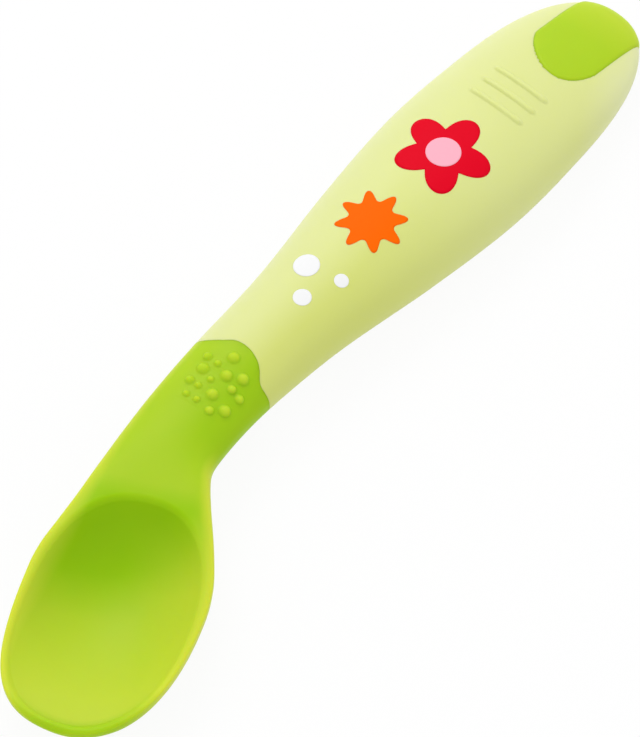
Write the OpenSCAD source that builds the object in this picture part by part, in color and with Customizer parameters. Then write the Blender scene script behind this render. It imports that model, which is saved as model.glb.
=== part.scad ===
// Baby spoon: a soft bowl and neck moulded on a stiff core, a pale handle and a pad let into its end.
// Origin: the middle of the bowl's flat foot, on the table. +X runs along the handle to its end, +Z is up.
// Places are given as stations: distances from the bowl's tip, measured along the spoon's middle line.

/* [Bowl] */
// Width of the bowl over its rim
bowl_w = 26.6; // [23:0.2:32]
// Distance from the tip to the bowl's widest place
widest_at = 22.8; // [21:0.2:27]
// Height of the rim at the tip
rim_tip_h = 8.8; // [8.2:0.1:11]
// Height of the rim at the bowl's widest place
rim_h = 10.2; // [9.8:0.1:12]
// Height of the rim where it meets the neck
rim_heel_h = 11.6; // [10.8:0.1:13]
// Width of the rounded rim around the hollow
rim_t = 1.4; // [1:0.1:1.8]
// Length of the hollow
hollow_l = 35.6; // [32:0.2:38]
// Depth of the hollow below the rim
hollow_h = 6.7; // [5:0.1:7]
// Height of the underside at the very tip
tip_under_h = 6; // [5:0.1:6.6]
// How deep the foot under the bowl is cut flat
foot_cut = 0.55; // [0.3:0.05:0.7]

/* [Neck] */
// Width of the neck at its thinnest place
neck_w = 14.4; // [13:0.2:17]
// Distance from the tip to the thinnest place
neck_at = 52.3; // [50:0.5:58]
// Height of the top of the neck
neck_top_h = 12.2; // [11.4:0.1:13.4]
// Height of the underside of the neck
neck_under_h = 3.4; // [2.6:0.1:4]
// Angle by which the bowl turns away from the handle's line
bowl_angle = 24.5; // [0:0.5:30]
// Length of the soft sleeve past the thinnest place, in the middle
sleeve_l = 14.2; // [12:0.2:18]
// How far the sleeve's rounded edge stands out past its sides
sleeve_round = 3.4; // [1:0.1:5]

/* [Grip dots] */
// Diameter of the large dots
dot_large_d = 1.9; // [1.4:0.1:2.2]
// Diameter of the middle dots
dot_middle_d = 1.4; // [1.1:0.1:1.6]
// Diameter of the small dots
dot_small_d = 1; // [0.8:0.1:1.2]
// How high the dots stand out
dot_h = 0.45; // [0.3:0.05:0.6]

/* [Handle] */
// Length of the handle from the neck's thinnest place to the end
handle_l = 101; // [95:0.5:115]
// Width of the handle at its widest place
handle_w = 25.8; // [22:0.2:29]
// Height of the handle's top at its thickest place
handle_top_h = 13.8; // [13:0.1:15.5]
// Height of the handle's top at the inner end of the heel pad
heel_top_h = 11.6; // [10.5:0.1:12.5]
// Height at which the handle's end closes
end_h = 5.2; // [4.8:0.1:6]
// Length over which the handle rounds in to its end, seen from above
end_round_l = 34.6; // [28:0.2:40]
// Length over which the handle rounds in to its end, seen from the side
end_side_l = 8.5; // [6:0.5:11]
// How deep the rest under the handle is cut flat
rest_cut = 0.6; // [0.25:0.05:0.75]
// Thickness of the raised thumb ribs
rib_d = 1.1; // [0.8:0.1:1.6]
// Length of the raised thumb ribs across the handle
rib_l = 10; // [6:0.5:12]
// Distance from one thumb rib to the next
rib_pitch = 3; // [2.4:0.1:3.4]
// Distance from the handle's end to the nearest thumb rib
rib_from_end = 23.8; // [23:0.2:26]
// How high the thumb ribs stand out
rib_h = 0.4; // [0.3:0.05:0.6]

/* [Heel pad] */
// Width of the pad let into the handle's end
pad_w = 12.4; // [10:0.2:14]
// Length of the pad on top of the handle
pad_l = 19.2; // [16:0.2:21]
// Length of the pad under the handle
pad_under_l = 11; // [8:0.5:13]
// Length of the pad's rounded inner end
pad_round_l = 6.6; // [4:0.1:7]
// How far the pad lies over to the side that the bowl turns to
pad_side = 0.5; // [0:0.1:0.8]
// Thickness of the pad in its seat
pad_t = 2; // [1.4:0.1:2.4]
// How far the pad stands out of the handle
pad_proud = 0.2; // [0.1:0.05:0.4]

/* [Core] */
// Width of the tang inside the handle
tang_w = 15; // [12:0.5:17]
// Width of the bar inside the neck
bar_w = 8; // [6:0.2:9]
// Width of the spade under the bowl
spade_w = 13; // [9:0.5:14]
// Thickness of the tang
tang_t = 4.6; // [3:0.1:5.4]
// Thickness of the spade
spade_t = 1.2; // [1:0.1:1.4]
// Distance from the tip to the spade's front edge
spade_at = 17; // [15:0.5:20]
// Distance from the tang's end to the handle's end
tang_short_l = 25; // [24:0.5:30]
// Height of the tang's middle in the handle
tang_h = 6.6; // [6:0.1:7.4]
// Height of the spade's middle under the bowl
spade_h = 1.7; // [1.5:0.05:1.9]
// Length of each window in the tang
window_l = 9; // [6:0.5:10]
// Width of each window in the tang
window_w = 7; // [5:0.5:8]
// Distance from one window to the next
window_pitch = 12; // [11.5:0.5:14]
// Diameter of the holes in the spade
spade_hole_d = 2.2; // [1.6:0.1:2.4]
// Least wall of soft material at the core's sides
core_wall = 2.4; // [2:0.1:3]
// Clearance of the soft parts around the core
core_gap = 0.04; // [0.02:0.01:0.1]

/* [Print] */
// Thickness of an ink layer
ink_t = 0.12; // [0.08:0.01:0.2]
// Width across the red flower
flower_d = 15; // [10:0.5:16]
// Width across the pink middle of the flower
flower_eye_d = 5.4; // [3:0.2:6]
// Width across the orange star
star_d = 11; // [7:0.5:12]
// Diameter of the largest white spot
spot_d = 4; // [3:0.2:5]

/* [Hidden] */

spoon_l = neck_at + handle_l;
sleeve_at = neck_at + sleeve_l;
heel_at = spoon_l - pad_l;
tang_end = spoon_l - tang_short_l;
hollow_w = bowl_w - 2 * rim_t;
hollow_end = rim_t + hollow_l;

// The rim's widest level lies this far below its top, as a share of the rim's width
rim_fall_share = 0.75;
// The ends of the skins are cut off square this far in, as a share of the rim's width
cut_share = 0.03;
end_cut = cut_share * rim_t;
// The tip rounds over this length, as a share of the rim's width
tip_round_share = 1.5;
// How far a cutting shape runs past what it cuts
overrun = 1;

// Heading of the middle line: share of neck_at, then share of bowl_angle
heading_shares = [
    [0, 0.6], [0.2, 0.55], [0.42, 0.89], [0.68, 1.15], [0.83, 0.97], [0.95, 0.42], [1.08, 0.24], [1.35, 0]
];
// From the widest place to the neck: share of the way, then share of the extra width
taper_shares = [[0, 1], [0.15, 0.925], [0.3, 0.72], [0.55, 0.34], [0.8, 0.04], [1, 0]];
// Along the handle: share of its length, then share of the extra width
swell_shares = [[0, 0], [0.12, 0.05], [0.26, 0.21], [0.44, 0.69], [0.6, 0.99], [0.76, 1], [1, 1.15]];
// How square the outlines and sections are: 2 is an ellipse, more is squarer
tip_share = 2.45;
end_share = 2.35;
hollow_share = 2.3;
top_shares = [[0, 8], [0.5, 8], [0.85, 2.6], [1.1, 2.3]];
under_shares = [[0, 2], [0.5, 2], [1, 2.2], [1.4, 2.3]];
// The hollow's deepest place, as a share of its length, and how full its floor is
deepest_share = 0.66;
floor_share = 2.2;
wall_share = 0.75;

// A smooth curve through pairs of place and value, level at both ends
function pair_slope(t, i) =
    i <= 0 || i >= len(t) - 1 ? 0 : (t[i + 1][1] - t[i - 1][1]) / (t[i + 1][0] - t[i - 1][0]);
function between(a, b, slope_a, slope_b, x) =
    let(h = b[0] - a[0], t = (x - a[0]) / h)
    (2 * t ^ 3 - 3 * t ^ 2 + 1) * a[1] + (t ^ 3 - 2 * t ^ 2 + t) * h * slope_a
    + (3 * t ^ 2 - 2 * t ^ 3) * b[1] + (t ^ 3 - t ^ 2) * h * slope_b;
function along(t, x, i = 0) =
    x <= t[0][0] ? t[0][1]
    : i >= len(t) - 1 ? t[len(t) - 1][1]
    : x > t[i + 1][0] ? along(t, x, i + 1)
    : between(t[i], t[i + 1], pair_slope(t, i), pair_slope(t, i + 1), x);
// Height of a rounded arch at share x of its half width, from 1 in the middle to 0 at its foot
function arch(x, squareness) = x >= 1 ? 0 : (1 - abs(x) ^ squareness) ^ (1 / squareness);
function share(x, from, to) = min(1, max(0, (x - from) / (to - from)));

// The middle line, seen from above, summed in short straight steps
line_steps = 180;
line_step = spoon_l / line_steps;
function heading(s) = bowl_angle * along(heading_shares, s / neck_at);
line_points = [
    for (i = 0, p = [0, 0]; i <= line_steps;
         p = p + line_step * [cos(heading((i + 0.5) * line_step)), sin(heading((i + 0.5) * line_step))],
         i = i + 1) p
];
function line_at(s) =
    let(i = min(line_steps - 1, max(0, floor(s / line_step))), t = s / line_step - i)
    (1 - t) * line_points[i] + t * line_points[i + 1];
foot_place = line_at(widest_at);
function place(s, v, z) =
    let(p = line_at(s) - foot_place, a = heading(s)) [p[0] - v * sin(a), p[1] + v * cos(a), z];

// Half the width of the spoon at station s, for a skin that lies grow outside the surface
function body_half(s) =
    s < widest_at ? bowl_w / 2 * arch(1 - s / widest_at, tip_share)
    : s < neck_at
        ? neck_w / 2 + (bowl_w - neck_w) / 2 * along(taper_shares, (s - widest_at) / (neck_at - widest_at))
        : neck_w / 2 + (handle_w - neck_w) / 2 * along(swell_shares, (s - neck_at) / handle_l);
function half_width(s, grow = 0) =
    (body_half(s) + grow) * arch(share(s - grow, spoon_l - end_round_l, spoon_l), end_share);

// Heights of the top, the underside and the widest level along the spoon
top_heights = [
    [0, rim_tip_h], [widest_at, rim_h], [neck_at * 0.76, rim_heel_h], [neck_at, neck_top_h],
    [neck_at + handle_l * 0.42, handle_top_h], [neck_at + handle_l * 0.62, handle_top_h - rib_h / 2],
    [heel_at, heel_top_h], [spoon_l, end_h + (heel_top_h - end_h) * 0.45]
];
under_heights = [
    [0, tip_under_h], [widest_at * 0.28, tip_under_h * 0.36], [widest_at * 0.6, 0],
    [widest_at, -foot_cut], [widest_at * 1.35, 0], [neck_at * 0.8, neck_under_h * 0.65],
    [neck_at, neck_under_h], [neck_at + handle_l * 0.18, neck_under_h * 0.7],
    [neck_at + handle_l * 0.42, neck_under_h * 0.12], [neck_at + handle_l * 0.63, -rest_cut],
    [neck_at + handle_l * 0.8, 0], [spoon_l - end_side_l / 2, end_h * 0.36], [spoon_l, end_h * 0.6]
];
side_heights = [
    [0, rim_tip_h - rim_fall_share * rim_t], [widest_at, rim_h - rim_fall_share * rim_t],
    [neck_at * 0.85, rim_heel_h * 0.76], [neck_at + handle_l * 0.1, (neck_top_h + neck_under_h) / 2],
    [spoon_l, end_h]
];
// The handle's end and the bowl's tip close on their widest level
function end_close(s, grow) = arch(share(s - grow, spoon_l - end_side_l, spoon_l), end_share);
function tip_close(s) = arch(1 - share(s, 0, tip_round_share * rim_t), 2);
function closed(h, s, grow) = end_h + (h - end_h) * end_close(s, grow);
function side_h(s, grow = 0) = closed(along(side_heights, s), s, grow);
function top_z(s, v, grow = 0) =
    let(m = side_h(s, grow), h = closed(along(top_heights, s) + grow, s, grow) - m)
    m + h * tip_close(s) * arch(abs(v) / half_width(s, grow), along(top_shares, s / neck_at));
function under_z(s, v, grow = 0) =
    let(m = side_h(s, grow), h = m - closed(along(under_heights, s) - grow, s, grow))
    max(-grow, m - h * tip_close(s) * arch(abs(v) / half_width(s, grow), along(under_shares, s / neck_at)));

// The sleeve's rounded edge: stations near it lie back towards the sides, and sooner on the side of the turn
edge_shares = [
    [-1, 1], [-0.75, 0.93], [-0.55, 0.46], [-0.38, 0.19], [-0.1, 0],
    [0.2, 0.05], [0.45, 0.38], [0.76, 0.71], [1, 0.82]
];
edge_near = [[0, 0], [neck_at, 0], [sleeve_at, 1], [sleeve_at + 2 * sleeve_l, 0]];
function edge_station(s, v_share) =
    s - sleeve_round * along(edge_near, s) * along(edge_shares, v_share);

// A closed skin from rings of points that pair up top and underside across the spoon
columns = 20;
function column_share(j) = cos(180 * j / columns);
function ring(s, grow = 0) = concat(
    [for (j = [0:columns])
        let(e = edge_station(s, column_share(j)), v = half_width(e, grow) * column_share(j))
        place(e, v, top_z(e, v, grow))],
    [for (j = [columns - 1:-1:1])
        let(e = edge_station(s, column_share(j)), v = half_width(e, grow) * column_share(j))
        place(e, v, under_z(e, v, grow))]
);
// Faces between rings of n points, and over the first and the last ring in strips across
function side_faces(n, count) = [
    for (i = [0:count - 2], j = [0:n - 1], half = [0:1])
        let(a = i * n + j, b = i * n + (j + 1) % n)
        half == 0 ? [a, a + n, b + n] : [a, b + n, b]
];
function strip_faces(n, at, flip) = [
    for (j = [0:n / 2 - 1], half = [0:1])
        let(a = at + j, b = at + j + 1, c = at + (n - j) % n, d = at + n - j - 1)
        if ((half == 0 && j < n / 2 - 1) || (half == 1 && j > 0))
            let(f = half == 0 ? [a, b, d] : [a, d, c]) flip ? [f[2], f[1], f[0]] : f
];
module skin(rings) {
    n = len(rings[0]);
    polyhedron(
        points = [for (r = rings, p = r) p],
        faces = concat(
            side_faces(n, len(rings)),
            strip_faces(n, 0, false),
            strip_faces(n, n * (len(rings) - 1), true)
        )
    );
}

// Bowl and neck: the outer skin, the hollow and the grip dots
bowl_rings = 44;
module bowl_skin() {
    skin([for (i = [0:bowl_rings]) ring(end_cut + (sleeve_at - end_cut) * (1 - cos(90 * i / bowl_rings)))]);
}

function hollow_half(s) = hollow_w / 2 * arch(abs(2 * (s - rim_t) / hollow_l - 1), hollow_share);
// The floor is deepest at deepest_share of the hollow's length
skew = ln(0.5) / ln(deepest_share);
function floor_depth(s) =
    let(t = share(s, rim_t, hollow_end) ^ skew) hollow_h * (1 - abs(2 * t - 1) ^ floor_share) ^ wall_share;
function floor_z(s, v) =
    along(top_heights, s) - floor_depth(s) * max(0, 1 - abs(v / hollow_half(s)) ^ floor_share) ^ wall_share;
hollow_rings = 26;
// The rings lie at even turns of a half circle, without its very ends, which these shares of it leave out
ring_shares = [0.055, 0.983];
module hollow() {
    skin([
        for (i = [0:hollow_rings])
            let(turn = 180 * (ring_shares[0] + (ring_shares[1] - ring_shares[0]) * i / hollow_rings),
                s = rim_t + hollow_l * (1 - cos(turn)) / 2,
                w = hollow_half(s))
            concat(
                [for (j = [0:columns]) place(s, w * column_share(j), along(top_heights, s) + overrun)],
                [for (j = [columns - 1:-1:1]) place(s, w * column_share(j), floor_z(s, w * column_share(j)))]
            )
    ]);
}

// Grip dots on the neck: station past the thinnest place and place across, as shares, then the size
dot_places = [
    [0.67, 0.43, dot_middle_d], [0.81, -0.02, dot_large_d], [0.66, 0.15, dot_small_d],
    [0.53, 0.32, dot_large_d], [0.6, -0.16, dot_large_d], [0.68, -0.46, dot_large_d],
    [0.35, 0.38, dot_middle_d], [0.47, 0.04, dot_small_d], [0.34, 0.16, dot_small_d],
    [0.51, -0.43, dot_middle_d], [0.34, -0.19, dot_large_d], [0.2, 0.25, dot_small_d],
    [0.48, -0.66, dot_middle_d], [0.2, 0, dot_small_d], [0.17, -0.35, dot_middle_d],
    [0.27, -0.59, dot_large_d]
];
dot_facets = 14;
// Tilt of the top across the spoon at a place
function cross_tilt(s, v, step) = atan((top_z(s, v + step) - top_z(s, v - step)) / (2 * step));
module dot(s, v, d) {
    translate(place(s, v, top_z(s, v)))
        rotate([0, 0, heading(s)])
            rotate([cross_tilt(s, v, d / 2), 0, 0])
                hull() {
                    translate([0, 0, -dot_h])
                        cylinder(d = d, h = dot_h * 1.3, $fn = dot_facets);
                    cylinder(d = d * 0.5, h = dot_h, $fn = dot_facets);
                }
}

// Core: a flat blank that follows the middle line, thin under the bowl and thick in the handle
core_half_widths = [
    [spade_at, spade_w * 0.32], [spade_at + spade_w * 0.35, spade_w / 2],
    [widest_at + spade_w * 0.5, spade_w / 2], [neck_at * 0.8, bar_w / 2],
    [neck_at + bar_w, bar_w / 2], [sleeve_at + bar_w, tang_w / 2],
    [tang_end - tang_w / 2, tang_w / 2], [tang_end, tang_w * 0.3]
];
core_heights = [
    [spade_at, spade_h], [widest_at + spade_t * 2, spade_h], [neck_at * 0.7, neck_under_h * 1.3],
    [neck_at * 0.9, (neck_top_h + neck_under_h) / 2 - spade_t / 2],
    [neck_at, (neck_top_h + neck_under_h) / 2], [sleeve_at + bar_w, tang_h], [tang_end, tang_h]
];
core_thicknesses = [
    [spade_at, spade_t], [widest_at + spade_w * 0.4, spade_t], [neck_at * 0.9, tang_t * 0.8],
    [neck_at + bar_w, tang_t], [tang_end, tang_t]
];
// The spade is dished like the bowl's underside, the rest is level across
dish_shares = [[widest_at + spade_w * 0.5, 1], [neck_at * 0.85, 0]];
core_square_share = 6;
core_rings = 39;
core_columns = 8;
function core_mid(s, v) = along(core_heights, s) + (under_z(s, v) - under_z(s, 0)) * along(dish_shares, s);
function core_point(s, v_share, side, grow) =
    let(w = min(along(core_half_widths, s), half_width(s) - core_wall) + grow,
        t = along(core_thicknesses, s) / 2 + grow)
    place(s, w * v_share, core_mid(s, w * v_share) + side * t * arch(abs(v_share), core_square_share));
function core_ring(s, grow) = concat(
    [for (j = [0:core_columns]) core_point(s, cos(180 * j / core_columns), 1, grow)],
    [for (j = [core_columns - 1:-1:1]) core_point(s, cos(180 * j / core_columns), -1, grow)]
);
module core_blank(grow) {
    skin([
        for (i = [0:core_rings])
            let(s = spade_at - grow + (tang_end - spade_at + 2 * grow) * i / core_rings)
            core_ring(s, grow)
    ]);
}
module at_station(s, v, z) {
    translate(place(s, v, z))
        rotate([0, 0, heading(s)])
            children();
}
windows = 4;
first_window_at = sleeve_at + bar_w + window_l / 2;
window_corner_share = 0.3;
module window(grow) {
    r = window_w * window_corner_share - grow;
    x = window_l / 2 - window_w * window_corner_share;
    y = window_w / 2 - window_w * window_corner_share;
    linear_extrude(height = 2 * tang_t, center = true)
        union() {
            square([2 * (x + r), 2 * y], center = true);
            square([2 * x, 2 * (y + r)], center = true);
            for (i = [-1, 1], j = [-1, 1])
                translate([i * x, j * y])
                    circle(r = r, $fn = 24);
        }
}
// Holes in the spade: rows along it, as shares of its width
spade_hole_places = [[0.34, 0], [0.34, 0.27], [0.34, -0.27], [0.66, 0.14], [0.66, -0.14], [0.98, 0]];
module core_shape(grow = 0) {
    difference() {
        core_blank(grow);
        for (i = [0:windows - 1])
            at_station(first_window_at + i * window_pitch, 0, tang_h)
                window(grow);
        for (h = spade_hole_places)
            at_station(spade_at + h[0] * spade_w, h[1] * spade_w, spade_h)
                cylinder(d = spade_hole_d - 2 * grow, h = 4 * spade_t, center = true, $fn = 24);
    }
}

// Heel pad: a strip of the handle's skin that runs over its end, from above to below
pad_rows = 16;
pad_columns = 12;
function tip_station(v, grow, lo, hi, n = 22) =
    n == 0 ? lo
    : half_width((lo + hi) / 2, grow) > abs(v) ? tip_station(v, grow, (lo + hi) / 2, hi, n - 1)
    : tip_station(v, grow, lo, (lo + hi) / 2, n - 1);
// The round inner end leans over to that side too, by a share of the pad's half width
lean_share = 0.25;
function pad_inner(v, length) =
    let(u = 2 * (v + pad_side) / pad_w)
    spoon_l - length + pad_round_l * (1 - arch(abs(u + lean_share * (1 - u * u)), 2));
function pad_path(v, grow) =
    let(tip = tip_station(v, grow, heel_at, spoon_l + grow - end_cut))
    concat(
        [for (i = [0:pad_rows])
            let(s = pad_inner(v, pad_l) + (tip - pad_inner(v, pad_l)) * sin(90 * i / pad_rows))
            place(s, v, top_z(s, v, grow))],
        [for (i = [pad_rows - 1:-1:0])
            let(s = pad_inner(v, pad_under_l) + (tip - pad_inner(v, pad_under_l)) * sin(90 * i / pad_rows))
            place(s, v, under_z(s, v, grow))]
    );
module pad_shape(proud) {
    across = [for (j = [0:pad_columns]) -pad_side - pad_w / 2 * cos(180 * j / pad_columns)];
    outer = [for (v = across) pad_path(v, proud)];
    inner = [for (v = across) pad_path(v, -pad_t)];
    m = len(outer[0]);
    rings = [for (j = [0:pad_columns]) concat(outer[j], [for (i = [m - 1:-1:0]) inner[j][i]])];
    skin(rings);
}

// Handle: the pale body moulded round the tang
grip_rings = 34;
module handle_skin() {
    skin([
        for (i = [0:grip_rings])
            ring(sleeve_at + (spoon_l - end_cut - sleeve_at) * sin(90 * i / grip_rings))
    ]);
}
ribs = 3;
rib_pieces = 4;
module rib_bead(s, v) {
    translate(place(s, v, top_z(s, v) + rib_h - rib_d / 2))
        sphere(d = rib_d, $fn = 10);
}
module rib(s) {
    for (i = [0:rib_pieces - 1])
        hull() {
            rib_bead(s, rib_l * (i / rib_pieces - 0.5));
            rib_bead(s, rib_l * ((i + 1) / rib_pieces - 0.5));
        }
}

// Print: patches of ink that lie on the handle, one closed skin each
ink_rings = 5;
function ink_ring(s, v, radii, k, lift) = [
    for (j = [0:len(radii) - 1])
        let(a = 360 * j / len(radii), r = radii[j] * k / ink_rings, x = s + r * cos(a), y = v + r * sin(a))
        place(x, y, top_z(x, y) + lift)
];
// A patch with its middle at s, v and one radius for each direction
module ink_patch(s, v, radii, layer = 0) {
    low = layer * ink_t;
    high = low + ink_t;
    n = len(radii);
    points = concat(
        [place(s, v, top_z(s, v) + high)],
        [for (k = [1:ink_rings]) each ink_ring(s, v, radii, k, high)],
        [for (k = [ink_rings:-1:1]) each ink_ring(s, v, radii, k, low)],
        [place(s, v, top_z(s, v) + low)]
    );
    last = len(points) - 1;
    polyhedron(
        points = points,
        faces = concat(
            [for (j = [0:n - 1]) [0, 1 + (j + 1) % n, 1 + j]],
            [for (k = [0:2 * ink_rings - 2], j = [0:n - 1], half = [0:1])
                let(a = 1 + k * n + j, b = 1 + k * n + (j + 1) % n)
                half == 0 ? [a, b, b + n] : [a, b + n, a + n]],
            [for (j = [0:n - 1]) [last, last - n + j, last - n + (j + 1) % n]]
        )
    );
}
flower_sides = 40;
star_sides = 48;
round_sides = 20;
function round_radii(d) = [for (j = [0:round_sides - 1]) d / 2];
// Petals swell and draw in round the middle; depth is the share by which they draw in
function petal_radii(d, petals, depth_share) = [
    for (j = [0:flower_sides - 1])
        let(w = (1 + cos(petals * 360 * j / flower_sides)) / 2)
        d / 2 * (1 - depth_share + depth_share * w ^ 0.6)
];
function star_radii(d, points, depth_share) = [
    for (j = [0:star_sides - 1])
        let(w = (1 + cos(points * 360 * j / star_sides)) / 2)
        d / 2 * (1 - depth_share + depth_share * w ^ 1.4)
];
petals = 5;
petal_share = 0.42;
star_points = 8;
star_share = 0.35;
// The white spots: place along and across and diameter, as shares of spot_d
spot_shares = [[0, 0.55, 1], [-1.15, -0.25, 0.7], [0.35, -0.85, 0.55]];
spots_low = spot_d * min([for (p = spot_shares) p[0] - p[2] / 2]);
spots_high = spot_d * max([for (p = spot_shares) p[0] + p[2] / 2]);
// The print lies between the sleeve and the ribs. The bare handle there is shared out before each motif
ribs_at = spoon_l - rib_from_end - (ribs - 1) * rib_pitch - rib_d / 2;
print_room = ribs_at - sleeve_at - flower_d - star_d - (spots_high - spots_low);
bare_shares = [0.195, 0.161, 0.184];
flower_at = ribs_at - bare_shares[0] * print_room - flower_d / 2;
star_at = flower_at - flower_d / 2 - bare_shares[1] * print_room - star_d / 2;
spots_at = star_at - star_d / 2 - bare_shares[2] * print_room - spots_high;

module core() {
    color("ivory") core_shape();
}
module soft_bowl() {
    color("yellowgreen")
        difference() {
            union() {
                bowl_skin();
                for (p = dot_places)
                    dot(neck_at + p[0] * sleeve_l, p[1] * neck_w / 2, p[2]);
            }
            hollow();
            core_shape(core_gap);
        }
}
module handle_grip() {
    color("palegoldenrod")
        difference() {
            union() {
                handle_skin();
                for (i = [0:ribs - 1])
                    rib(spoon_l - rib_from_end - i * rib_pitch);
            }
            core_shape(core_gap);
            pad_shape(pad_proud);
        }
}
module heel_pad() {
    color("yellowgreen") pad_shape(pad_proud);
}
module print_red() {
    color("crimson") ink_patch(flower_at, 0, petal_radii(flower_d, petals, petal_share));
}
module print_pink() {
    color("pink") ink_patch(flower_at, 0, round_radii(flower_eye_d), 1);
}
module print_orange() {
    color("darkorange") ink_patch(star_at, 0, star_radii(star_d, star_points, star_share));
}
module print_white() {
    color("white")
        for (p = spot_shares)
            ink_patch(spots_at + p[0] * spot_d, p[1] * spot_d, round_radii(p[2] * spot_d));
}

core();
soft_bowl();
handle_grip();
heel_pad();
print_red();
print_pink();
print_orange();
print_white();
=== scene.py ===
"""A baby's weaning spoon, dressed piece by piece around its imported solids."""

import math

import bmesh
import bpy
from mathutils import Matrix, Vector


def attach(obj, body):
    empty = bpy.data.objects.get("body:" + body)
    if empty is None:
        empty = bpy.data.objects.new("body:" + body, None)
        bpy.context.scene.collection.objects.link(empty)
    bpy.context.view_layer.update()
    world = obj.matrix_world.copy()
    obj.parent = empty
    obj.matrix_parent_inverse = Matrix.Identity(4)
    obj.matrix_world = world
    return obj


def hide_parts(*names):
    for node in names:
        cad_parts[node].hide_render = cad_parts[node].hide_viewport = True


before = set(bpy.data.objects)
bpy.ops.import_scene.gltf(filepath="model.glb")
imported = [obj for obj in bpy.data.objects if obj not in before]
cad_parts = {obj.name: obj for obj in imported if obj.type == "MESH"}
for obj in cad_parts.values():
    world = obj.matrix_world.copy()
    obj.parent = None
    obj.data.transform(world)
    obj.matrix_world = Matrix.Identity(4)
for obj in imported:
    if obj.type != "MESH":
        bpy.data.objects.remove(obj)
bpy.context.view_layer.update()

# The core
# A stiff blank of natural polypropylene, injection moulded, that the soft pieces are moulded onto. They seal
# it in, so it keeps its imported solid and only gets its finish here.
MM = 0.001


def linear(code):
    """An sRGB hex colour as the linear values that a shader takes."""
    parts = [int(code[i : i + 2], 16) / 255 for i in (1, 3, 5)]
    return [p / 12.92 if p <= 0.04045 else ((p + 0.055) / 1.055) ** 2.4 for p in parts] + [1.0]


def add(tree, kind, inputs=None, **settings):
    """One shader node: settings are its own, and inputs gives a socket its value or what feeds it."""
    node = tree.nodes.new(kind)
    for name, value in settings.items():
        setattr(node, name, value)
    for name, value in (inputs or {}).items():
        if isinstance(value, bpy.types.NodeSocket):
            tree.links.new(value, node.inputs[name])
        else:
            node.inputs[name].default_value = value
    return node


def bare_material(name):
    """A material with nothing in its node tree yet."""
    material = bpy.data.materials.new(name)
    material.use_nodes = True
    material.node_tree.nodes.clear()
    return material


def moulded_polypropylene():
    """Natural polypropylene from a spark-eroded mould: waxy, off-white and finely pitted."""
    pit = 0.3 * MM
    material = bare_material("moulded_polypropylene")
    tree = material.node_tree
    spot = add(tree, "ShaderNodeTexCoord").outputs["Object"]
    pits = add(tree, "ShaderNodeTexNoise", {"Vector": spot, "Scale": 1 / pit, "Detail": 3.0}).outputs["Fac"]
    bump = add(tree, "ShaderNodeBump", {"Height": pits, "Strength": 0.3, "Distance": 0.02 * MM})
    wax = add(tree, "ShaderNodeMapRange", {"Value": pits, "To Min": 0.42, "To Max": 0.58})
    body = add(
        tree,
        "ShaderNodeBsdfPrincipled",
        {
            "Base Color": linear("#EEEEE4"),
            "Roughness": wax.outputs["Result"],
            "IOR": 1.49,
            "Subsurface Weight": 0.4,
            "Subsurface Radius": (1.0, 0.9, 0.7),
            "Subsurface Scale": 1.5 * MM,
            "Normal": bump.outputs["Normal"],
        },
    )
    add(tree, "ShaderNodeOutputMaterial", {"Surface": body.outputs["BSDF"]})
    return material


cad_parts["core"].data.materials.clear()
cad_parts["core"].data.materials.append(moulded_polypropylene())

# The soft bowl
# The bowl, its rim and the sleeve over the neck are one shot of lime silicone moulded onto the core. The grip
# dots are pockets in the mould, so they grow out of the skin with small fillets. The rim is rounded for gums.
neck_at = 52.3
handle_l = 101
spoon_l = neck_at + handle_l
widest_at = 22.8
bowl_angle = 24.5
# Heading of the spoon's middle line: share of neck_at, then share of bowl_angle
heading_shares = [
    (0, 0.6),
    (0.2, 0.55),
    (0.42, 0.89),
    (0.68, 1.15),
    (0.83, 0.97),
    (0.95, 0.42),
    (1.08, 0.24),
    (1.35, 0),
]
line_steps = 1200


def slope_at(table, i):
    """Slope of a table's curve at its entry i: level at both ends."""
    if i <= 0 or i >= len(table) - 1:
        return 0.0
    return (table[i + 1][1] - table[i - 1][1]) / (table[i + 1][0] - table[i - 1][0])


def along(table, x):
    """A smooth curve through pairs of place and value, level at both ends."""
    if x <= table[0][0]:
        return table[0][1]
    for i, (a, b) in enumerate(zip(table, table[1:])):
        if x <= b[0]:
            gap = b[0] - a[0]
            t = (x - a[0]) / gap
            start = (2 * t**3 - 3 * t**2 + 1) * a[1] + (t**3 - 2 * t**2 + t) * gap * slope_at(table, i)
            return start + (3 * t**2 - 2 * t**3) * b[1] + (t**3 - t**2) * gap * slope_at(table, i + 1)
    return table[-1][1]


def heading(s):
    """Direction of the middle line at station s, which is the way along it from the bowl's tip."""
    return math.radians(bowl_angle * along(heading_shares, s / neck_at))


def middle_line():
    """Points of the middle line at even stations, summed from the bowl's tip."""
    step = spoon_l / line_steps
    points = [Vector((0, 0))]
    for i in range(line_steps):
        turn = heading((i + 0.5) * step)
        points.append(points[-1] + step * Vector((math.cos(turn), math.sin(turn))))
    return points


line_points = middle_line()


def line_at(s):
    """The middle line's point at station s."""
    i = min(line_steps - 1, max(0, int(s / spoon_l * line_steps)))
    return line_points[i].lerp(line_points[i + 1], s / spoon_l * line_steps - i)


foot_place = line_at(widest_at)


def place(s, v, z):
    """The point at station s along the middle line, v across it and z above the table, from mm to metres."""
    p = line_at(s) - foot_place
    turn = heading(s)
    return Vector((p.x - v * math.sin(turn), p.y + v * math.cos(turn), z)) * MM


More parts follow.
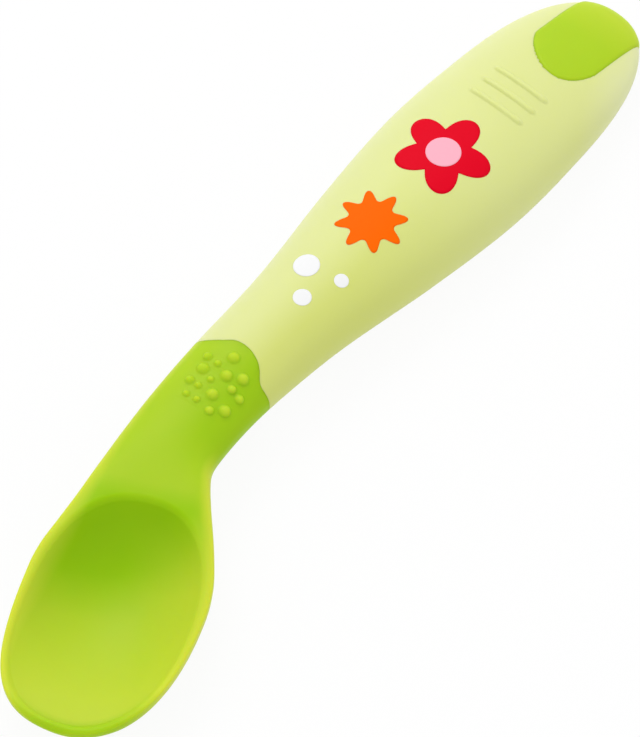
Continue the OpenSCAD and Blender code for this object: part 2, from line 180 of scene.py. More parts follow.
bowl_w = 26.6
neck_w = 14.4
handle_w = 25.8
rim_t = 1.4
rim_tip_h = 8.8
rim_h = 10.2
rim_heel_h = 11.6
neck_top_h = 12.2
neck_under_h = 3.4
handle_top_h = 13.8
heel_top_h = 11.6
end_h = 5.2
end_round_l = 34.6
end_side_l = 8.5
tip_under_h = 6
foot_cut = 0.55
rest_cut = 0.6
rib_h = 0.4
pad_l = 19.2
heel_at = spoon_l - pad_l
tip_round_share = 1.5
rim_fall_share = 0.75
# From the widest place to the neck: share of the way, then share of the extra width
taper_shares = [(0, 1), (0.15, 0.925), (0.3, 0.72), (0.55, 0.34), (0.8, 0.04), (1, 0)]
# Along the handle: share of its length, then share of the extra width
swell_shares = [(0, 0), (0.12, 0.05), (0.26, 0.21), (0.44, 0.69), (0.6, 0.99), (0.76, 1), (1, 1.15)]
# How square the outlines and sections are: 2 is an ellipse, more is squarer
ellipse = 2
tip_square = 2.45
end_square = 2.35
# The same for the top and the underside: share of neck_at, then how square
top_squares = [(0, 8), (0.5, 8), (0.85, 2.6), (1.1, 2.3)]
under_squares = [(0, 2), (0.5, 2), (1, 2.2), (1.4, 2.3)]
# Station along the middle line, then height above the table. The side is where top and underside meet
top_heights = [
    (0, rim_tip_h),
    (widest_at, rim_h),
    (neck_at * 0.76, rim_heel_h),
    (neck_at, neck_top_h),
    (neck_at + handle_l * 0.42, handle_top_h),
    (neck_at + handle_l * 0.62, handle_top_h - rib_h / 2),
    (heel_at, heel_top_h),
    (spoon_l, end_h + (heel_top_h - end_h) * 0.45),
]
under_heights = [
    (0, tip_under_h),
    (widest_at * 0.28, tip_under_h * 0.36),
    (widest_at * 0.6, 0),
    (widest_at, -foot_cut),
    (widest_at * 1.35, 0),
    (neck_at * 0.8, neck_under_h * 0.65),
    (neck_at, neck_under_h),
    (neck_at + handle_l * 0.18, neck_under_h * 0.7),
    (neck_at + handle_l * 0.42, neck_under_h * 0.12),
    (neck_at + handle_l * 0.63, -rest_cut),
    (neck_at + handle_l * 0.8, 0),
    (spoon_l - end_side_l / 2, end_h * 0.36),
    (spoon_l, end_h * 0.6),
]
side_heights = [
    (0, rim_tip_h - rim_fall_share * rim_t),
    (widest_at, rim_h - rim_fall_share * rim_t),
    (neck_at * 0.85, rim_heel_h * 0.76),
    (neck_at + handle_l * 0.1, (neck_top_h + neck_under_h) / 2),
    (spoon_l, end_h),
]


def arch(x, squareness):
    """Height of a rounded arch at share x of its half width, from 1 in the middle to 0 at its foot."""
    x = abs(x)
    return 0.0 if x >= 1 else (1 - x**squareness) ** (1 / squareness)


def share(x, start, end):
    """How far x has come from start, at 0, to end, at 1."""
    return min(1.0, max(0.0, (x - start) / (end - start)))


def body_half(s):
    """Half the spoon's width at station s, before the handle's end is rounded."""
    if s < widest_at:
        return bowl_w / 2 * arch(1 - s / widest_at, tip_square)
    if s < neck_at:
        taper = along(taper_shares, (s - widest_at) / (neck_at - widest_at))
        return neck_w / 2 + (bowl_w - neck_w) / 2 * taper
    return neck_w / 2 + (handle_w - neck_w) / 2 * along(swell_shares, (s - neck_at) / handle_l)


def half_width(s, grow=0.0):
    """Half the spoon's width at station s, for a skin that lies grow outside its surface."""
    return (body_half(s) + grow) * arch(share(s - grow, spoon_l - end_round_l, spoon_l), end_square)


def closed(height, s, grow):
    """Heights draw in to the level at which the handle's end closes."""
    return end_h + (height - end_h) * arch(share(s - grow, spoon_l - end_side_l, spoon_l), end_square)


# No width or slope is taken to be less than these, so that nothing is divided by zero
least_w = 1e-9
least_slope = 1e-3


def surface_z(s, v, over, grow=0.0):
    """Height of the top, or of the underside where over is false, at station s and v across."""
    middle = closed(along(side_heights, s), s, grow)
    nose = arch(1 - share(s, 0, tip_round_share * rim_t), ellipse)
    width = max(half_width(s, grow), least_w)
    if over:
        rise = closed(along(top_heights, s) + grow, s, grow) - middle
        return middle + rise * nose * arch(v / width, along(top_squares, s / neck_at))
    fall = middle - closed(along(under_heights, s) - grow, s, grow)
    return max(-grow, middle - fall * nose * arch(v / width, along(under_squares, s / neck_at)))


def smooth_min(a, b, reach):
    """The lower of two heights, with the corner between them rounded over reach."""
    near = max(reach - abs(a - b), 0) / reach
    return min(a, b) - near * near * reach / 4


hollow_l = 35.6
hollow_h = 6.7
hollow_half = bowl_w / 2 - rim_t
hollow_square = 2.3
# The hollow is deepest at this share of its length, which this power moves to the middle
deepest_share = 0.66
deepest_power = math.log(0.5) / math.log(deepest_share)
# A higher floor_power makes the hollow's floor flatter, and a lower wall_power its wall steeper
floor_power = 2.2
wall_power = 0.75
lip_round = 2.2
# Past the rim, the hollow's wall is carried on upwards at this slope, so that the lip rounds evenly
wall_slope = 2.0


def inside_rim(s, v):
    """Distance in from the hollow's edge, and negative outside it."""
    a = abs(2 * (s - rim_t) / hollow_l - 1)
    b = abs(v / hollow_half)
    steep_s = hollow_square * a ** (hollow_square - 1) * 2 / hollow_l
    steep_v = hollow_square * b ** (hollow_square - 1) / hollow_half
    return (1 - a**hollow_square - b**hollow_square) / max(math.hypot(steep_s, steep_v), least_slope)


def bowl_z(s, v, over, grow=0.0):
    """Height of the soft bowl's skin, with the hollow let into its top."""
    skin = surface_z(s, v, over, grow)
    inside = inside_rim(s, v)
    if not over or inside < -lip_round:
        return skin
    if inside <= 0:
        return smooth_min(skin, along(top_heights, s) - wall_slope * inside, lip_round)
    t = share(s, rim_t, rim_t + hollow_l) ** deepest_power
    width = hollow_half * arch(2 * (s - rim_t) / hollow_l - 1, hollow_square)
    lengthwise = max(0.0, 1 - abs(2 * t - 1) ** floor_power)
    across = max(0.0, 1 - abs(v / width) ** floor_power)
    depth = hollow_h * (lengthwise * across) ** wall_power
    return smooth_min(skin, along(top_heights, s) - depth, lip_round)


sleeve_l = 14.2
sleeve_at = neck_at + sleeve_l
sleeve_round = 3.4
# The sleeve's edge lies back towards the sides, by a share of sleeve_round: how much of that at each station,
# then place across, as a share of the half width, and how far back
edge_near = [(0, 0), (neck_at, 0), (sleeve_at, 1), (sleeve_at + 2 * sleeve_l, 0)]
edge_shares = [
    (-1, 1),
    (-0.75, 0.93),
    (-0.55, 0.46),
    (-0.38, 0.19),
    (-0.1, 0),
    (0.2, 0.05),
    (0.45, 0.38),
    (0.76, 0.71),
    (1, 0.82),
]


def edge_station(s, v_share):
    """The station of a ring's point at share v_share across, drawn back as the sleeve's edge is."""
    return s - sleeve_round * along(edge_near, s) * along(edge_shares, v_share)


def ring_places(over_columns, under_columns):
    """Right round a ring: each point's place across, as a share of the half width, and if it is on top."""
    top = [(j / over_columns, True) for j in range(over_columns + 1)]
    under = [(1 - j / under_columns, False) for j in range(1, under_columns)]
    return [(math.cos(math.pi * turn), over) for turn, over in top + under]


# Rings stop this far short of where a let-in skin closes, so that its end stays open for one face
end_gap = 0.01


def ring(s, height, grow, places):
    """Points right round the spoon at station s, with grow(station, v, over) the skin's lift at each."""
    points = []
    for v_share, over in places:
        at = edge_station(s, v_share)
        lift = grow(at, half_width(at) * v_share, over)
        at = min(at, spoon_l + lift - end_gap)
        v = half_width(at, lift) * v_share
        points.append(place(at, v, height(at, v, over, lift)))
    return points


def in_scene(name, data):
    """An object of the scene, with a mesh, a lamp or a camera as its data."""
    thing = bpy.data.objects.new(name, data)
    bpy.context.scene.collection.objects.link(thing)
    return thing


# Points nearer to each other than this are one point
same_point = 0.002


def closed_mesh(name, rings, thin, laddered=False):
    """A closed mesh over rings of points, with a tint at each point towards a lighter colour: painted light
    and shade, 1 where most light is painted.

    The end rings are filled with rungs across them if laddered, and otherwise with a fan from the middle.
    """
    n = len(rings[0])
    points = [p for r in rings for p in r]
    faces = [
        (i * n + j, i * n + (j + 1) % n, (i + 1) * n + (j + 1) % n, (i + 1) * n + j)
        for i in range(len(rings) - 1)
        for j in range(n)
    ]
    last = len(points) - n
    if laddered:
        rungs = [(j, j + 1, n - 2 - j, n - 1 - j) for j in range(n // 2 - 1)]
        faces += [tuple(reversed(rung)) for rung in rungs]
        faces += [tuple(last + k for k in rung) for rung in rungs]
    else:
        hub = len(points)
        points += [sum(r, Vector()) / n for r in (rings[0], rings[-1])]
        thin = thin + [thin[0], thin[-1]]
        faces += [((k + 1) % n, k, hub) for k in range(n)]
        faces += [(last + k, last + (k + 1) % n, hub + 1) for k in range(n)]
    mesh = bpy.data.meshes.new(name)
    mesh.from_pydata(points, [], faces)
    mesh.polygons.foreach_set("use_smooth", [True] * len(mesh.polygons))
    # The painted light and shade are kept as an attribute of the mesh
    mesh.attributes.new("thin", "FLOAT", "POINT").data.foreach_set("value", thin)
    skin = bmesh.new()
    skin.from_mesh(mesh)
    bmesh.ops.remove_doubles(skin, verts=skin.verts, dist=same_point * MM)
    skin.to_mesh(mesh)
    skin.free()
    mesh.validate()
    return in_scene(name, mesh)


def stations(steps, start, end):
    """Stations from start to end, where steps gives the wanted step at each place."""
    found = [start]
    while found[-1] < end:
        found.append(found[-1] + along(steps, found[-1]))
    return [start + (s - start) * (end - start) / (found[-1] - start) for s in found]


dot_h = 0.58
dot_fillet = 0.12
# Height of a dot with no width, as a share of the largest dot's
flat_dot_share = 0.7
large, middling, small = 1.9, 1.4, 1.0
# Grip dots: share of sleeve_l past the neck's thinnest place, share of half its width, diameter
dot_places = [
    (0.67, 0.43, middling),
    (0.81, -0.02, large),
    (0.66, 0.15, small),
    (0.53, 0.32, large),
    (0.6, -0.16, large),
    (0.68, -0.46, large),
    (0.35, 0.38, middling),
    (0.47, 0.04, small),
    (0.34, 0.16, small),
    (0.51, -0.43, middling),
    (0.34, -0.19, large),
    (0.2, 0.25, small),
    (0.48, -0.66, middling),
    (0.2, 0, small),
    (0.17, -0.35, middling),
    (0.27, -0.59, large),
]


def dot_centres():
    """Each dot's station, place across, point on the skin and diameter."""
    spots = [(neck_at + a * sleeve_l, b * neck_w / 2, d) for a, b, d in dot_places]
    return [(s, v, place(s, v, surface_z(s, v, True)), d) for s, v, d in spots]


dots = dot_centres()


def bowl_lift(s, v, over):
    """How far the grip dots stand out of the neck's top."""
    if over and neck_at < s < sleeve_at:
        here = place(s, v, surface_z(s, v, True))
        for at, across, centre, d in dots:
            if abs(s - at) < d and abs(v - across) < d:
                high = dot_h * (flat_dot_share + (1 - flat_dot_share) * d / large)
                ball = (d * d / 4 + high * high) / (2 * high)
                far = (here - centre).length / MM
                cap = math.sqrt(max(ball * ball - far * far, 0)) - (ball - high)
                lift = -smooth_min(-cap, 0, dot_fillet)
                if lift > 0:
                    return lift
    return 0.0


# Tint of the lime towards a lighter colour, from 0 to 1, which is painted light and shade: at the rim,
# standing for light coming through, and in a plain wall, then the painted light added to the wall's towards
# the tip and on the near side of the hollow, and a painted highlight on a dot
rim_pale = 0.9
wall_pale = 0.3
tip_pale = 0.4
near_wall_pale = 0.4
dot_pale = 0.4
# Painted shade taken off it in the hollow's heel and on the neck's near side, and which share of it is taken
# off along the rim to the neck and at the tip
heel_shade = 0.3
neck_near_shade = 0.18
heel_deep_share = 0.25
lip_deep_share = 0.8
# Stations from which to which each of these grows, slanted at the tip and in the hollow's heel by the place
# across
heel_span = (38, 50)
near_rim_span = (52, 44)
near_wall_span = (36, 26)
neck_span = (42, 52)
tip_span = (30, 6)
heel_shade_back_span = (40, 37)
heel_shade_front_span = (21, 29)
lip_span = (6, 0)
tint_slant = 0.4
lip_slant = 0.5
# The same across, as shares of the half width, and for the lip in distances in from the hollow's edge
far_rim_shares = (0.6, 0.95)
near_rim_shares = (0.72, 0.97)
near_wall_shares = (-0.1, 0.75)
neck_shares = (0.2, -0.5)
heel_shade_shares = (1, 0.7)
dot_shares = (0.35, -0.35)
under_side_shares = (0.6, 1)
lip_inside = (1, -0.5)


def thinness(s, v_share, over):
    """Painted light and shade on the lime: lightest at the rim, standing for light coming through, and
    darkest in the hollow's heel, where shade is painted.
    """
    v = half_width(s) * v_share
    slanted = s + tint_slant * v
    # Painted light at the rim, standing for light coming through it
    far_rim = share(v_share, *far_rim_shares) * (1 - heel_deep_share * share(s, *heel_span))
    near_rim = share(-v_share, *near_rim_shares) * share(s, *near_rim_span)
    # Painted light on the hollow's near wall and towards the tip, and painted shade on the neck's near side
    near_wall = share(-v_share, *near_wall_shares) * share(s, *near_wall_span)
    wall = wall_pale - neck_near_shade * share(s, *neck_span) * share(v_share, *neck_shares)
    in_tip = wall + tip_pale * share(slanted, *tip_span)
    thin = max(rim_pale * far_rim, rim_pale * near_rim, in_tip, wall + near_wall_pale * near_wall)
    # Painted shade in the hollow's heel
    heel_shaded = share(s, *heel_shade_back_span) * share(slanted, *heel_shade_front_span) * share(abs(v_share), *heel_shade_shares)
    thin -= heel_shade * heel_shaded * (1 - near_wall)
    # Painted shade on the lip at the tip
    lip = share(s + lip_slant * v, *lip_span) * share(inside_rim(s, v), *lip_inside)
    thin *= 1 - lip_deep_share * lip
    if not over:
        return wall_pale + (thin - wall_pale) * share(abs(v_share), *under_side_shares)
    at = edge_station(s, v_share)
    # A painted highlight on the grip dots on the near side
    dot = bowl_lift(at, half_width(at) * v_share, over) / dot_h * share(v_share, *dot_shares)
    return thin + dot_pale * dot


bowl_places = ring_places(132, 60)
# The wanted step between rings at each station, fine at the tip, the hollow's heel and the dots
bowl_steps = [
    (0, 0.006),
    (1, 0.1),
    (6, 0.26),
    (29, 0.26),
    (34, 0.14),
    (39, 0.14),
    (43, 0.4),
    (51, 0.4),
    (53.5, 0.13),
]
# The outermost rings lie this far from the bowl's tip and the handle's end
cap_gap = 0.004
# The sleeve's edge turns down over this radius, in rings at these angles, and goes in to these depths
edge_r = 0.05
edge_turns = [15, 30, 45, 60, 75, 90]
edge_depths = [0.6, 1.2, 2.0, 2.8]


def soft_bowl_rings():
    """Rings from the tip to the sleeve's edge and in over it to the core, and the painted light and shade at
    each point.
    """
    body = stations(bowl_steps, cap_gap, sleeve_at - edge_r)
    rings = [ring(s, bowl_z, bowl_lift, bowl_places) for s in body]
    for turn in edge_turns:
        back = edge_r * (1 - math.sin(math.radians(turn)))
        drop = edge_r * (1 - math.cos(math.radians(turn)))
        rings.append(ring(sleeve_at - back, surface_z, lambda s, v, over: -drop, bowl_places))
    for drop in edge_depths:
        rings.append(ring(sleeve_at, surface_z, lambda s, v, over: -drop, bowl_places))
    at = body + [sleeve_at] * (len(rings) - len(body))
    return rings, [thinness(s, v_share, over) for s in at for v_share, over in bowl_places]


def blasted_skin(tree, cloud, pigments, pale, smoothest, dullest):
    """Colour, roughness and normal of a soft body from a blasted mould: evenly pigmented, with light and
    shade painted on as a tint towards a lighter colour.
    """
    # A mould's fine blasted grain is about 0.05 mm, drawn four times as coarse so that it shows
    grain = 0.2 * MM
    spot = add(tree, "ShaderNodeTexCoord").outputs["Object"]
    clouds = add(tree, "ShaderNodeTexNoise", {"Vector": spot, "Scale": 1 / cloud, "Detail": 2.0})
    grains = add(tree, "ShaderNodeTexNoise", {"Vector": spot, "Scale": 1 / grain, "Detail": 2.0})
    pigment = add(
        tree,
        "ShaderNodeMix",
        {"Factor": clouds.outputs["Fac"], "A": linear(pigments[0]), "B": linear(pigments[1])},
        data_type="RGBA",
    )
    # The tint of painted light and shade that each mesh carries
    thin = add(tree, "ShaderNodeAttribute", attribute_name="thin")
    paler = add(
        tree,
        "ShaderNodeMix",
        {"Factor": thin.outputs["Fac"], "A": pigment.outputs["Result"], "B": linear(pale)},
        data_type="RGBA",
    )
    height = grains.outputs["Fac"]
    satin = add(tree, "ShaderNodeMapRange", {"Value": height, "To Min": smoothest, "To Max": dullest})
    bump = add(tree, "ShaderNodeBump", {"Height": height, "Strength": 0.2, "Distance": 0.01 * MM})
    return {
        "Base Color": paler.outputs["Result"],
        "Roughness": satin.outputs["Result"],
        "Normal": bump.outputs["Normal"],
    }


def moulded_silicone():
    """Liquid silicone rubber, pigmented lime: satin, evenly pigmented under painted light and shade, and
    light goes a little way into it.
    """
    material = bare_material("moulded_silicone")
    tree = material.node_tree
    body = add(
        tree,
        "ShaderNodeBsdfPrincipled",
        {
            **blasted_skin(tree, 8 * MM, ("#9DCB00", "#97C600"), "#CFDA40", smoothest=0.36, dullest=0.48),
            "IOR": 1.41,
            "Specular IOR Level": 0.15,
            "Subsurface Weight": 0.6,
            "Subsurface Radius": (1.5, 1.0, 0.2),
            "Subsurface Scale": 1.6 * MM,
        },
    )
    add(tree, "ShaderNodeOutputMaterial", {"Surface": body.outputs["BSDF"]})
    return material


lime = moulded_silicone()
bowl_rings, bowl_thin = soft_bowl_rings()
soft_bowl = closed_mesh("spoon_bowl", bowl_rings, bowl_thin)
soft_bowl.data.materials.append(lime)
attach(soft_bowl, "root")
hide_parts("soft_bowl")

# The handle grip
# A thick body of milky, faintly green thermoplastic, moulded round the tang in a satin mould. Three thumb
# ribs are moulded with it, and its end has a seat for the pad.
ribs = 3
rib_d = 1.1
rib_l = 10
rib_pitch = 3
rib_fillet = 0.2
rib_from_end = 23.8
pad_w = 12.4
pad_under_l = 11
pad_round_l = 6.6
pad_side = 0.5
# The pad's round inner end leans over to one side, by a share of its half width. It is upright at the very
# side, so its slope is only worked out as far as steepest_share of that
lean_share = 0.25
steepest_share = 0.999
pad_t = 2
# The seat's wall, as distances in from the pad's outline, and how far the pad bites into the seat's floor
seat_wall = (0.3, 0.8)
pad_bite = 0.1


def leaning(u):
    """Share u of the pad's half width, moved by the lean of its round inner end."""
    return u + lean_share * (1 - u * u)


def pad_start(u, length):
    """Station of the round inner end at share u of the half width, for a pad that is length long."""
    return spoon_l - length + pad_round_l * (1 - arch(leaning(u), ellipse))


def pad_distance(s, v, over):
    """Distance in from the pad's outline on the handle, and negative outside it."""
    side = pad_w / 2 - abs(v + pad_side)
    u = max(-steepest_share, min(2 * (v + pad_side) / pad_w, steepest_share))
    steep = leaning(u) / math.sqrt(max(1 - leaning(u) ** 2, least_slope))
    slope = pad_round_l * 2 / pad_w * steep * (1 - 2 * lean_share * u)
    return min(side, (s - pad_start(u, pad_l if over else pad_under_l)) / math.hypot(1, slope))


def rib_lift(s, v):
    """A rounded bead across the handle, with fillets at its foot."""
    lift = 0.0
    for i in range(ribs):
        rib_at = spoon_l - rib_from_end - i * rib_pitch
        off = math.hypot(s - rib_at, max(abs(v) - (rib_l - rib_d) / 2, 0))
        if off < rib_d:
            bead = math.sqrt(max(rib_d * rib_d / 4 - off * off, 0)) - rib_d / 2 + rib_h
            lift = max(lift, -smooth_min(-bead, 0, rib_fillet))
    return lift


def handle_lift(s, v, over):
    """The ribs, and the seat under the pad."""
    seat = share(pad_distance(s, v, over), *seat_wall)
    if seat > 0:
        return -(pad_t - pad_bite) * seat
    return rib_lift(s, v) if over else 0.0


# Painted light on the milky body, a tint towards a lighter colour on its far side, which faces the lamp, past
# its middle and underneath, while its near side keeps the deeper pigment as painted shade. It is 1 on the
# near side of its end
far_side_pale = 0.75
past_middle_pale = 0.4
under_pale = 0.3
# Stations from which to which these grow, and the same across, as shares of the half width
past_middle_span = (85, 112)
end_span = (120, 142)
far_side_shares = (-0.5, 0.95)
end_near_shares = (0.2, 0.95)
under_edge_shares = (0.5, 1)


def handle_painted_light(s, v_share, over):
    """Painted light and shade on the body: least light on its near side, where shade is painted, and most at
    its end, where light is painted.
    """
    far_side = far_side_pale * share(v_share, *far_side_shares)
    past_middle = past_middle_pale * share(s, *past_middle_span)
    pale = max(far_side, past_middle, share(s, *end_span) * share(-v_share, *end_near_shares))
    return pale if over else under_pale + (pale - under_pale) * share(abs(v_share), *under_edge_shares)


def milky_thermoplastic():
    """A soft, milky thermoplastic from a blasted mould: satin, evenly pigmented under painted light and
    shade, and light goes just under its skin.
    """
    material = bare_material("milky_thermoplastic")
    tree = material.node_tree
    body = add(
        tree,
        "ShaderNodeBsdfPrincipled",
        {
            **blasted_skin(tree, 14 * MM, ("#D8DF7E", "#D5DC7A"), "#E3E7B0", smoothest=0.36, dullest=0.46),
            "IOR": 1.48,
            "Specular IOR Level": 0.28,
            "Subsurface Weight": 0.6,
            "Subsurface Radius": (1.0, 1.0, 0.5),
            "Subsurface Scale": 0.4 * MM,
        },
    )
    add(tree, "ShaderNodeOutputMaterial", {"Surface": body.outputs["BSDF"]})
    return material


handle_places = ring_places(112, 56)
ribs_from = spoon_l - rib_from_end - (ribs - 1) * rib_pitch
# The wanted step between rings at each station, fine over the ribs and at the end
handle_steps = [
    (sleeve_at, 0.3),
    (sleeve_at + 2, 0.5),
    (ribs_from - rib_d - 2, 0.5),
    (ribs_from - rib_d, 0.13),
    (spoon_l - rib_from_end + rib_d, 0.13),
    (spoon_l - rib_from_end + rib_d + 1, 0.4),
    (spoon_l - 6, 0.3),
    (spoon_l - 1, 0.05),
    (spoon_l, 0.006),
]
# The skin dips this little at the joint, and lies level from joint_l past it
joint_dip = 0.01
joint_l = 0.8
# The body's start under the sleeve: place past the sleeve's edge, then depth under the skin
joint_steps = [
    (-0.1, 2.8),
    (-0.1, 1.6),
    (-0.1, 0.8),
    (-0.02, 0.2),
    (0, joint_dip),
    (0.02, joint_dip),
    (0.3, joint_dip / 2),
]


def handle_rings():
    """Rings from inside the sleeve's edge to the handle's end, and the painted light and shade at each point.
    """
    rings = []
    for past, depth in joint_steps:
        rings.append(ring(sleeve_at + past, surface_z, lambda s, v, over: -depth, handle_places))
    body = stations(handle_steps, sleeve_at + joint_l, spoon_l - cap_gap)
    rings += [ring(s, surface_z, handle_lift, handle_places) for s in body]
    at = [sleeve_at] * len(joint_steps) + body
    return rings, [handle_painted_light(s, v_share, over) for s in at for v_share, over in handle_places]


grip_rings, grip_thin = handle_rings()
handle = closed_mesh("spoon_handle", grip_rings, grip_thin)
handle.data.materials.append(milky_thermoplastic())
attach(handle, "root")
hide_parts("handle_grip")

# The heel pad
# A strip of the bowl's lime silicone that wraps over the handle's end, from above to below. It sits in its
# seat and stands a little proud, with softly rounded edges.
pad_proud = 0.2
pad_edge_l = 0.7
pad_sunk = 0.1
pad_rows = 52
pad_columns = 52
# Where the handle closes is found by halving the stretch that holds it this many times
halvings = 26
# Tint of the lime on the pad, which is painted light, the painted sheen added at its end, and over which
# distances from the end that grows
pad_pale = 0.3
pad_end_sheen = 0.25
pad_end_span = (-9, -2)


def pad_station(v, length, grow, row_share):
    """Station of a row of the pad: rows run from its inner end to the handle's very end, close at both."""
    low, high = heel_at, spoon_l + grow
    for _ in range(halvings):
        middle = (low + high) / 2
        if half_width(middle, grow) > abs(v):
            low = middle
        else:
            high = middle
    inner = pad_start(2 * (v + pad_side) / pad_w, length)
    return inner + (low - inner) * (1 - math.cos(math.pi * row_share)) / 2


def pad_point(v, i, outer):
    """A point of the pad's outer or inner face: rows 0 to pad_rows on top, then back underneath."""
    over = i <= pad_rows
    row_share = i / pad_rows if over else 2 - i / pad_rows
    length = pad_l if over else pad_under_l
    grow = -pad_t
    if outer:
        edge = share(pad_distance(pad_station(v, length, 0, row_share), v, over), 0, pad_edge_l)
        grow = (pad_proud + pad_sunk) * math.sin(math.pi / 2 * edge) - pad_sunk
    s = pad_station(v, length, grow, row_share)
    return place(s, v, surface_z(s, v, over, grow))


def pad_rings():
    """A ring for each column, over the outer face and back along the inner, and the painted light at each
    point, with a painted sheen towards the handle's end.
    """
    end = place(spoon_l, 0, 0).x
    rings = []
    for j in range(pad_columns + 1):
        v = -pad_side - pad_w / 2 * math.cos(math.pi * j / pad_columns)
        outer = [pad_point(v, i, True) for i in range(2 * pad_rows + 1)]
        inner = [pad_point(v, i, False) for i in range(2 * pad_rows, -1, -1)]
        rings.append(outer + inner)
    return rings, [pad_pale + pad_end_sheen * share((p.x - end) / MM, *pad_end_span) for r in rings for p in r]


pad = closed_mesh("spoon_heel_pad", *pad_rings(), laddered=True)
pad.data.materials.append(lime)
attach(pad, "root")
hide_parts("heel_pad")

# The print
# Four passes of a pad printer, each one colour of ink: a red flower, its pink middle over it, an orange star
# and white spots. The film of ink follows the handle, and is opaque and nearly matt.
flower_d = 15
flower_eye_d = 5.4
star_d = 11
spot_d = 4
ink_sunk = 0.02
ink_t = 0.02
ink_rings = 12
ink_sides = 200
# The white spots: place along and across and diameter, as shares of spot_d
spot_shares = [(0, 0.55, 1), (-1.15, -0.25, 0.7), (0.35, -0.85, 0.55)]
spots_low = spot_d * min(p[0] - p[2] / 2 for p in spot_shares)
spots_high = spot_d * max(p[0] + p[2] / 2 for p in spot_shares)
# The print lies between the sleeve and the ribs. The bare handle there is shared out before each motif
print_end = ribs_from - rib_d / 2
bare_l = print_end - sleeve_at - flower_d - star_d - (spots_high - spots_low)
bare_shares = [0.195, 0.161, 0.184]
flower_at = print_end - bare_shares[0] * bare_l - flower_d / 2
star_at = flower_at - flower_d / 2 - bare_shares[1] * bare_l - star_d / 2
spots_at = star_at - star_d / 2 - bare_shares[2] * bare_l - spots_high


def outline(d, lobes=0, depth_share=0.0, power=1.0):
    """Radii of a round outline, or of one that draws in by depth_share between lobes: power slims them."""
    radii = []
    for j in range(ink_sides):
        swell = (1 + math.cos(lobes * 2 * math.pi * j / ink_sides)) / 2
        radii.append(d / 2 * (1 - depth_share + depth_share * swell**power))
    return radii


def ink_patch(name, patches):
    """A film of ink on the handle's top, from patches of place, outline and layer."""
    points, faces, smooth = [], [], []
    outwards = range(1, ink_rings + 1)
    levels = [(k, ink_t) for k in outwards] + [(k, -ink_sunk) for k in reversed(outwards)]
    for s, v, radii, layer in patches:
        first = len(points)
        n = len(radii)
        for k, lift in levels:
            for j, radius in enumerate(radii):
                turn = 2 * math.pi * j / n
                x = s + radius * k / ink_rings * math.cos(turn)
                y = v + radius * k / ink_rings * math.sin(turn)
                points.append(place(x, y, surface_z(x, y, True) + lift + layer * ink_t))
        for k in range(len(levels) - 1):
            for j in range(n):
                a, b = first + k * n + j, first + k * n + (j + 1) % n
                faces.append((a + n, b + n, b, a))
                smooth.append(k != ink_rings - 1)
        faces.append(tuple(first + j for j in range(n)))
        faces.append(tuple(len(points) - n + j for j in reversed(range(n))))
        smooth += [True, True]
    mesh = bpy.data.meshes.new(name)
    mesh.from_pydata(points, [], faces)
    mesh.polygons.foreach_set("use_smooth", smooth)
    mesh.validate()
    return in_scene(name, mesh)


def printing_ink(name, code, thin_code):
    """Two-part pad printing ink: opaque, nearly matt, a shade thinner where the silicone pad lifted off."""
    mottle = 0.5 * MM
    material = bare_material(name)
    tree = material.node_tree
    spot = add(tree, "ShaderNodeTexCoord").outputs["Object"]
    mottles = add(
        tree, "ShaderNodeTexNoise", {"Vector": spot, "Scale": 1 / mottle, "Detail": 4.0}
    ).outputs["Fac"]
    film = add(
        tree,
        "ShaderNodeMix",
        {"Factor": mottles, "A": linear(code), "B": linear(thin_code)},
        data_type="RGBA",
    )
    sheen = add(tree, "ShaderNodeMapRange", {"Value": mottles, "To Min": 0.4, "To Max": 0.5})
    bump = add(tree, "ShaderNodeBump", {"Height": mottles, "Strength": 0.1, "Distance": 0.01 * MM})
    body = add(
        tree,
        "ShaderNodeBsdfPrincipled",
        {
            "Base Color": film.outputs["Result"],
            "Roughness": sheen.outputs["Result"],
            "IOR": 1.5,
            "Specular IOR Level": 0.03,
            "Normal": bump.outputs["Normal"],
        },
    )
    add(tree, "ShaderNodeOutputMaterial", {"Surface": body.outputs["BSDF"]})
    return material


flower = outline(flower_d, lobes=5, depth_share=0.42, power=0.6)
star = outline(star_d, lobes=8, depth_share=0.35, power=1.4)
spots = [(spots_at + a * spot_d, b * spot_d, outline(d * spot_d), 0) for a, b, d in spot_shares]
# Each ink: its colour, its colour where the film is thin, and its patches
prints = {
    "red": ("#E30424", "#DD0622", [(flower_at, 0, flower, 0)]),
    "pink": ("#F9B4C4", "#F6B0C1", [(flower_at, 0, outline(flower_eye_d), 1)]),
    "orange": ("#FF6A00", "#FA6602", [(star_at, 0, star, 0)]),
    "white": ("#F4F4F5", "#EFF0F0", spots),
}
for ink, (code, thin_code, patches) in prints.items():
    patch = ink_patch("spoon_print_" + ink, patches)
    patch.data.materials.append(printing_ink("printing_ink_" + ink, code, thin_code))
    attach(patch, "root")
    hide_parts("print_" + ink)

# The studio
# A pale floor and an even white surround, as in a catalogue picture, with one large soft lamp high on the far
# side. The camera looks down on the spoon from the bowl's side with a long lens.
floor_size = 3
floor_lift = 0.93
surround_level = 0.83


def seen_white(tree):
    """1 for rays that show what is behind the object: from the camera, in gloss and through glass."""
    rays = add(tree, "ShaderNodeLightPath").outputs
    gloss = add(
        tree, "ShaderNodeMath", {0: rays["Is Camera Ray"], 1: rays["Is Glossy Ray"]}, operation="MAXIMUM"
    )
    seen = add(
        tree, "ShaderNodeMath", {0: gloss.outputs[0], 1: rays["Is Transmission Ray"]}, operation="MAXIMUM"
    )
    return seen.outputs[0]


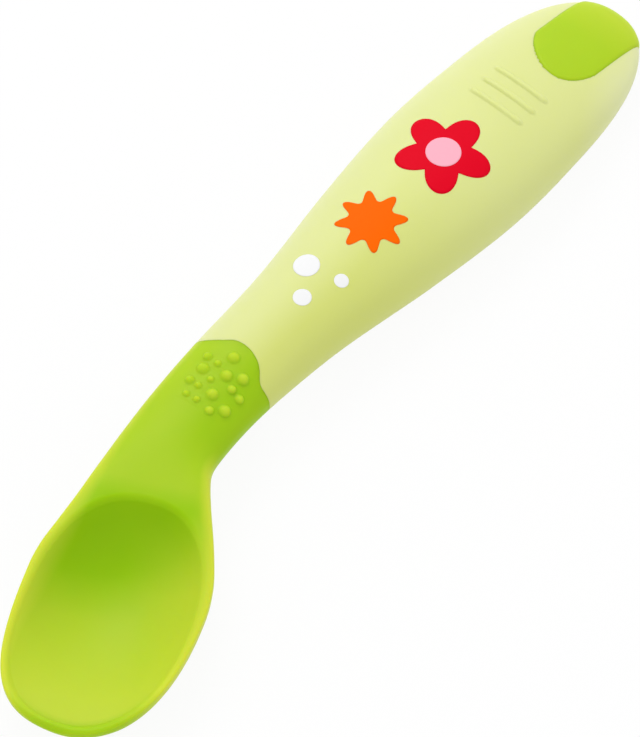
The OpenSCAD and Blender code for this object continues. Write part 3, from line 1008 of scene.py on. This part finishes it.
def pale_floor():
    """Matt white board, lifted to the white of the picture but keeping the spoon's shadow."""
    material = bare_material("pale_floor")
    tree = material.node_tree
    lifted = add(tree, "ShaderNodeMath", {0: seen_white(tree), 1: floor_lift}, operation="MULTIPLY")
    board = add(tree, "ShaderNodeBsdfDiffuse", {"Color": linear("#F6F6F6")})
    white = add(tree, "ShaderNodeEmission", {"Color": linear("#FFFFFF"), "Strength": 1.0})
    mixed = add(
        tree,
        "ShaderNodeMixShader",
        {0: lifted.outputs[0], 1: board.outputs["BSDF"], 2: white.outputs["Emission"]},
    )
    add(tree, "ShaderNodeOutputMaterial", {"Surface": mixed.outputs["Shader"]})
    return material


floor_corners = [(x * floor_size / 2, y * floor_size / 2, 0) for x, y in ((-1, -1), (1, -1), (1, 1), (-1, 1))]
floor_mesh = bpy.data.meshes.new("floor")
floor_mesh.from_pydata(floor_corners, [], [(0, 1, 2, 3)])
floor = in_scene("floor", floor_mesh)
floor.data.materials.append(pale_floor())

world = bpy.data.worlds.new("surround")
world.use_nodes = True
world.node_tree.nodes.clear()
strength = add(
    world.node_tree,
    "ShaderNodeMapRange",
    {"Value": seen_white(world.node_tree), "To Min": surround_level, "To Max": 1.0},
)
sky = add(
    world.node_tree,
    "ShaderNodeBackground",
    {"Color": linear("#FFFFFF"), "Strength": strength.outputs["Result"]},
)
add(world.node_tree, "ShaderNodeOutputWorld", {"Surface": sky.outputs["Background"]})
bpy.context.scene.world = world


def aim(thing, eye, target):
    """Puts a lamp or camera at eye, looking at target."""
    thing.location = eye
    thing.rotation_euler = (target - eye).to_track_quat("-Z", "Y").to_euler()


spoon_middle = Vector((47, 3, 7)) * MM
lamp_place = Vector((0.42, 0.5, 0.75))
lamp_size = 0.5
lamp_power = 3.1
lamp_data = bpy.data.lights.new("softbox", "AREA")
lamp_data.shape = "SQUARE"
lamp_data.size = lamp_size
lamp_data.energy = lamp_power
lamp = in_scene("softbox", lamp_data)
aim(lamp, lamp_place, spoon_middle)

camera_azimuth = -48.8
camera_elevation = 58
camera_distance = 0.6
camera_target = Vector((47.79, 3.64, 7.63)) * MM
camera_lens = 199.9
camera_sensor = 36
camera_data = bpy.data.cameras.new("camera")
camera_data.sensor_fit = "VERTICAL"
camera_data.sensor_height = camera_sensor
camera_data.lens = camera_lens
camera = in_scene("camera", camera_data)
turn, tilt = math.radians(camera_azimuth), math.radians(camera_elevation)
back = Vector((math.sin(turn) * math.cos(tilt), -math.cos(turn) * math.cos(tilt), math.sin(tilt)))
aim(camera, camera_target + camera_distance * back, camera_target)
bpy.context.scene.camera = camera
bpy.context.scene.view_settings.view_transform = "Standard"
